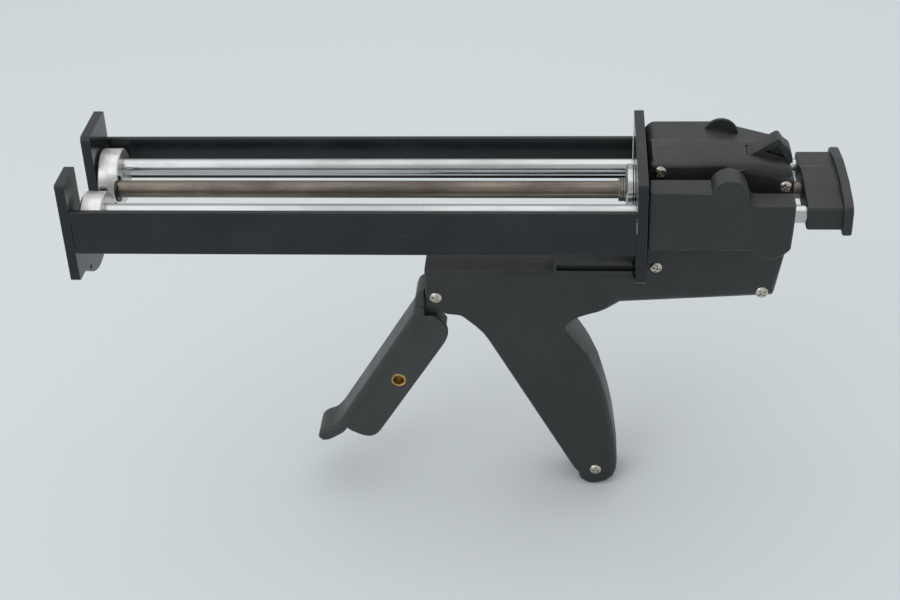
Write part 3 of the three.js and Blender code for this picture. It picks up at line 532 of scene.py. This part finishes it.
housing_nylon = moulded("glass_filled_nylon", "#1d1f20", "#252728", "#3b3d3d", 0.46)
for side in ("left", "right"):
    from_cad(f"{side}_housing_half", f"housing_{side}", housing_nylon, "black_plastic", sharp=48)
from_cad("pull_handle_moulding", "pull_handle", housing_nylon, "black_plastic", sharp=38)
from_cad("release_lever_moulding", "release_lever", housing_nylon, "black_plastic", sharp=48)

# ------------------------------------------------------------------ trigger and its eyelet
# One moulding of the same nylon, glossier and a shade lighter all over, with the housing's painted
# sheen on its corners, and a brass eyelet rolled over on both sides for hanging the gun up.
trigger_nylon = moulded("handled_nylon", "#2a2c2c", "#333535", "#4b4d4d", 0.44)
from_cad("trigger_moulding", "trigger", trigger_nylon, "trigger_plastic", sharp=48)

brass, tree, shader = material("rolled_brass", "#b8913f", 1.0, 0.32)
tarnish = noise(tree, 2.4, 4.0, 0.65)
tarnished = mixed(tree, ramp(tree, tarnish, 0.35, 0.75), "#cdb071", "#8c7647")
painted(tree, shader, tarnished, ramp(tree, tarnish, 0.3, 0.75, 0.26, 0.5))
bumped(tree, shader, [(noise(tree, 0.6, 2.0), 0.01)])
low, high = span("trigger_bush")
middle, reach = (low + high) / 2, (high[0] - low[0]) / 2
half = (high[1] - low[1]) / 2
t = np.linspace(-0.5 * np.pi, 0.5 * np.pi, 9)
inner, shank = 3.1, 3.8
lip = (reach - inner) / 2
# Rolled lip: a half circle from the bore out to the flange's rim, then back along the shank.
roll = [(-half + 0.55 - 0.55 * np.cos(a), inner + lip + lip * np.sin(a)) for a in t]
profile = [
    *roll, (-half + 0.6, reach - 0.1), (-half + 1.0, shank), (half - 1.0, shank), (half - 0.6, reach - 0.1),
    *[(-y, r) for y, r in reversed(roll)], roll[0],
]
grid = turned([(middle[1] + y, r) for y, r in profile], middle, 1, 48)
place("brass_eyelet", surface("brass_eyelet", [grid], 50), brass, "trigger", "bush_brass", ["trigger_bush"])


# ------------------------------------------------------------------ screws
# Six self-tapping pan heads with a cross recess, nickel plated and gone slightly yellow,
# driven in from the left; three socket heads hold the rods in the pull handle.
nickel, tree, shader = material("yellowed_nickel", "#b9b09c", 1.0, 0.28)
stain = noise(tree, 1.8, 4.0, 0.65)
spotted = mixed(tree, ramp(tree, stain, 0.4, 0.75), "#d0ccc2", "#9b958a")
painted(tree, shader, spotted, ramp(tree, stain, 0.3, 0.75, 0.22, 0.4))
bumped(tree, shader, [(noise(tree, 0.5, 2.0), 0.008)])


def smooth(value, low, high):
    """Carries value smoothly from 0 at low to 1 at high."""
    s = np.clip((value - low) / (high - low), 0, 1)
    return s * s * (3 - 2 * s)


def screw(cad, head_r, head_h, shank_r, axis, sign, recess, turn):
    """A screw as one surface over (row, angle): a domed head less a recess, its rim, and the
    shank to a point. axis is the screw's own direction, and sign the way its head faces along it."""
    low, high = span(cad)
    middle = (low + high) / 2
    top = low[axis] if sign < 0 else high[axis]
    end = high[axis] if sign < 0 else low[axis]
    t = np.linspace(0, 2 * np.pi, 96, endpoint=False)
    r = np.linspace(0, 1, 34)[:, None] ** 0.8 * head_r
    a, b = r * np.cos(t + turn), r * np.sin(t + turn)
    dome = 0.55 * head_h * (r / head_r) ** 3.2 * np.ones_like(t)
    if recess == "cross":
        arm = np.minimum(np.abs(a), np.abs(b))
        deep = (1.5 - 0.34 * r) * (1 - smooth(arm, 0.42, 0.6)) * (1 - smooth(r, 2.15, 2.45))
    else:
        sector = np.pi / 3
        flat = r * np.cos((t + turn) % sector - sector / 2)
        deep = 1.5 * (1 - smooth(flat, 1.35, 1.5))
    down = dome + deep
    rows_r = [head_r, head_r, shank_r, shank_r, shank_r * 0.6, 0]
    length = abs(end - top)
    rows_d = [0.62 * head_h, head_h, head_h, length - 1.0, length - 0.4, length]
    radius = np.concatenate([np.repeat(r, len(t), 1), np.repeat(np.array(rows_r)[:, None], len(t), 1)])
    depth = np.concatenate([down, np.repeat(np.array(rows_d)[:, None], len(t), 1)])
    other = [i for i in range(3) if i != axis]
    grid = np.zeros((*radius.shape, 3))
    grid[..., axis] = top - sign * depth
    grid[..., other[0]] = middle[other[0]] + radius * np.cos(t)
    grid[..., other[1]] = middle[other[1]] + radius * np.sin(t)
    return grid


SCREW_TURNS = {
    "trigger_pivot_screw": 0.5, "housing_screw_lower_front": 0.2, "housing_screw_lower_rear": 1.0,
    "housing_screw_grip": 0.05, "housing_screw_ridge_front": 0.75, "housing_screw_ridge_rear": 1.3,
}
PAN_R, PAN_H, TAPPING_R = 3.5, 2.0, 1.6
for cad, turn_by in SCREW_TURNS.items():
    name = f"{cad}_pan_head"
    made = surface(name, [screw(cad, PAN_R, PAN_H, TAPPING_R, 1, -1, "cross", turn_by)], 40)
    place(name, made, nickel, nodes[cad]["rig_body"], "screw_nickel", [cad])
SOCKET_R, SOCKET_H, THREADED_R = 4.2, 2.5, 1.7
for i, side in enumerate(("left", "centre", "right")):
    cad = f"handle_screw_{side}"
    name = f"{cad}_socket_head"
    made = surface(name, [screw(cad, SOCKET_R, SOCKET_H, THREADED_R, 0, 1, "socket", 0.3 * i)], 40)
    place(name, made, steel, "plunger", "plain_steel", [cad])

# ------------------------------------------------------------------ drive and brake inside
# Pressed steel: the drawbar and yoke, three drive plates, the brake plate, and two pins of
# drawn wire. They only show through the openings, and keep the CAD's own shape.
pressed, tree, shader = material("pressed_steel", "#8a867f", 1.0, 0.4)
roll_marks = noise(tree, 1.4, 3.0, 0.6, (0.1, 1.0, 1.0))
rolled = mixed(tree, ramp(tree, roll_marks, 0.35, 0.75), "#938f88", "#64605a")
painted(tree, shader, rolled, ramp(tree, roll_marks, 0.3, 0.7, 0.32, 0.5))
bumped(tree, shader, [(roll_marks, 0.01)])
drive_plates = [f"drive_plate_{i}" for i in (1, 2, 3)]
for cad in ("drive_yoke", *drive_plates, "brake_plate", "link_pin", "lever_pin"):
    nodes[cad].data.materials.clear()
    nodes[cad].data.materials.append(pressed)

# Two coil springs of zinc-plated wire lie round the drive rod. The wire is 1.3 mm thick.
zinc, tree, shader = material("zinc_plated_wire", "#b3b1ac", 1.0, 0.3)
drawn = noise(tree, 0.9, 2.0, 0.6)
plated = mixed(tree, ramp(tree, drawn, 0.35, 0.7), "#bab8b3", "#8f8d89")
painted(tree, shader, plated, ramp(tree, drawn, 0.3, 0.7, 0.24, 0.4))
bumped(tree, shader, [(drawn, 0.006)])


def coil(cad, turns):
    """A wire of round section carried along a helix round the X axis; each end is closed to a point."""
    low, high = span(cad)
    wire = 0.65
    mean = (high[1] - low[1]) / 2 - wire
    s = np.linspace(0, 1, int(turns * 40))[:, None]
    a = s * turns * 2 * np.pi
    v = np.linspace(0, 2 * np.pi, 12, endpoint=False)[None, :]
    w = wire * np.ones_like(s)
    w[0] = w[-1] = 0
    r = mean + w * np.cos(v)
    x = low[0] + wire + (high[0] - low[0] - 2 * wire) * s + w * np.sin(v)
    return np.stack([x, r * np.cos(a), r * np.sin(a)], -1)


for cad, name, joint, travel in (
    ("drive_spring", "drive_spring_wire", "drive_slide", 4.7),
    ("brake_spring", "brake_spring_wire", "brake_tilt", 0.5),
):
    low, high = span(cad)
    spring = place(name, surface(name, [coil(cad, 4)], 60), zinc, "frame", "spring_steel", [cad])
    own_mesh(spring)

# ------------------------------------------------------------------ size
low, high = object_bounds()
